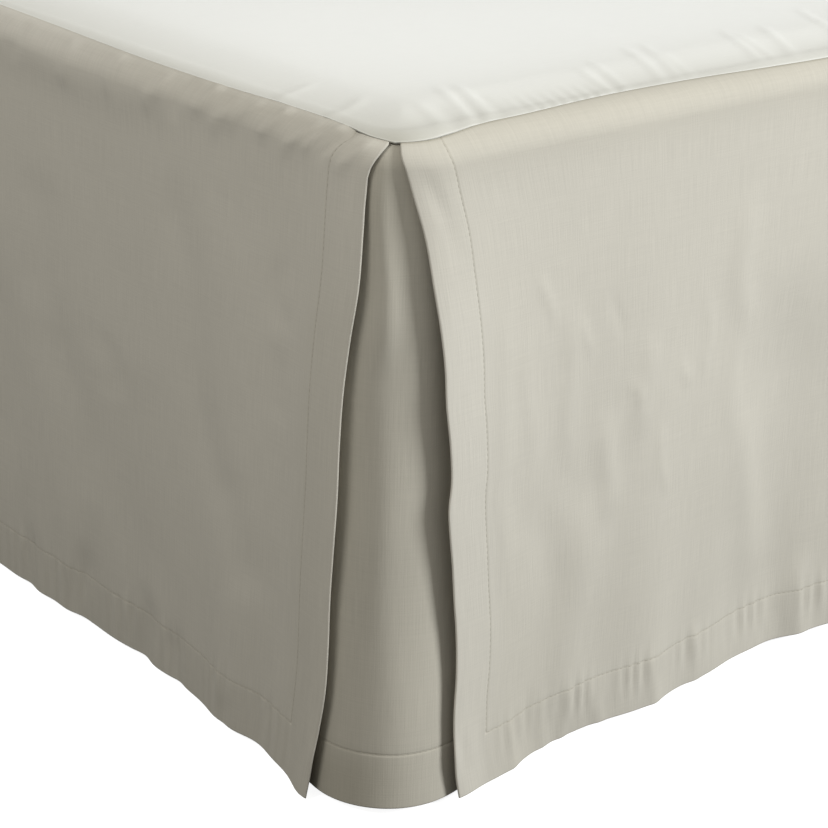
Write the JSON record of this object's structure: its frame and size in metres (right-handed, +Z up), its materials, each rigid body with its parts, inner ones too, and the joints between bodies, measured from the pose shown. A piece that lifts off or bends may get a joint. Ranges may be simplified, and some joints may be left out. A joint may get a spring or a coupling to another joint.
{
  "type": "bed skirt with split corners on a plain bed base with legs",
  "caption": "Tailored three-sided bed skirt: a flat deck with hemmed drop panels, split foot corners and insert panels, fitted over a plain bed base on legs.",
  "frame": {"origin": "on the floor under the middle of the whole part", "axes": "+Z up, -Y towards the foot of the bed, +Y towards the head, +X towards the side that the picture shows"},
  "size_m": [1.5774, 2.0607, 0.3906],
  "materials": {
    "skirt_linen": "plain-woven natural linen, matt, slubby",
    "deck_cotton": "off-white plain-woven cotton, matt",
    "base_cover": "plain close-woven upholstery cloth, matt",
    "leg_wood": "satin-varnished hardwood"
  },
  "bodies": {
    "root": {"deck": "deck_cotton", "panel_foot": "skirt_linen", "panel_right": "skirt_linen", "panel_left": "skirt_linen", "insert_right": "skirt_linen", "insert_left": "skirt_linen", "base_box": "base_cover", "leg_foot_right": "leg_wood", "leg_foot_left": "leg_wood", "leg_middle_right": "leg_wood", "leg_middle_left": "leg_wood", "leg_head_right": "leg_wood", "leg_head_left": "leg_wood"}
  },
  "joints": []
}
